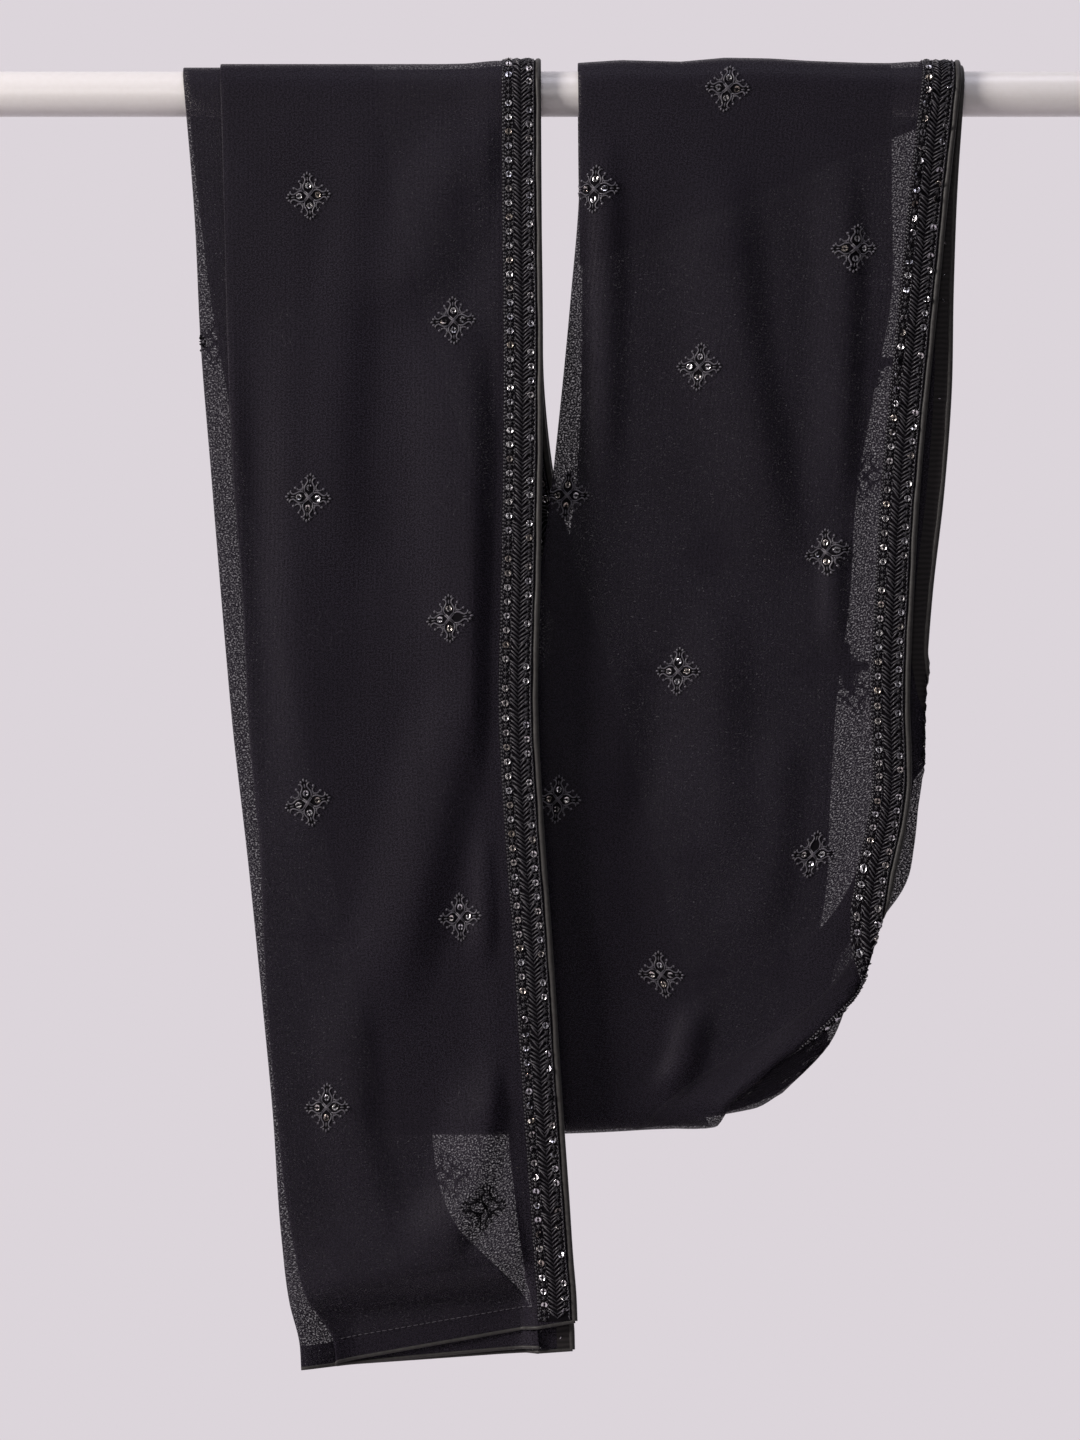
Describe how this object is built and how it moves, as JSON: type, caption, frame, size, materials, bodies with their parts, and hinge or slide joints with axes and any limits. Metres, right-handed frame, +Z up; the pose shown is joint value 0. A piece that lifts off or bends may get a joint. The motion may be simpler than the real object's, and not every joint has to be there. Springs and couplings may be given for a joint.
{
  "type": "dupatta stole on a rail",
  "caption": "Black semi-sheer dupatta stole with embroidered sequin borders and scattered motifs, folded lengthwise and draped over a white round rail.",
  "frame": {"origin": "on the rail's axis at the middle of its length, where the rail is held", "axes": "+X along the rail towards the swag, +Y from the front of the cloth to its back, +Z up"},
  "size_m": [0.9, 0.0547, 0.8112],
  "materials": {
    "georgette": "black semi-sheer crepe georgette",
    "embroidery": "black thread embroidery with sequins",
    "satin": "black satin binding",
    "enamel": "white enamelled steel tube"
  },
  "bodies": {
    "root": {"cloth_front_fall": "georgette", "border_outer_front_fall": "embroidery", "binding_outer_front_fall": "satin", "border_inner_front_fall": "embroidery", "binding_inner_front_fall": "satin", "cloth_back_drop": "georgette", "border_outer_back_drop": "embroidery", "binding_outer_back_drop": "satin", "border_inner_back_drop": "embroidery", "binding_inner_back_drop": "satin", "cloth_front_swag": "georgette", "border_outer_front_swag": "embroidery", "binding_outer_front_swag": "satin", "border_inner_front_swag": "embroidery", "binding_inner_front_swag": "satin", "cloth_tail": "georgette", "border_outer_tail": "embroidery", "binding_outer_tail": "satin", "border_inner_tail": "embroidery", "binding_inner_tail": "satin", "hem_edge_front_fall": "satin", "hem_edge_tail": "satin", "rail": "enamel"}
  },
  "joints": []
}
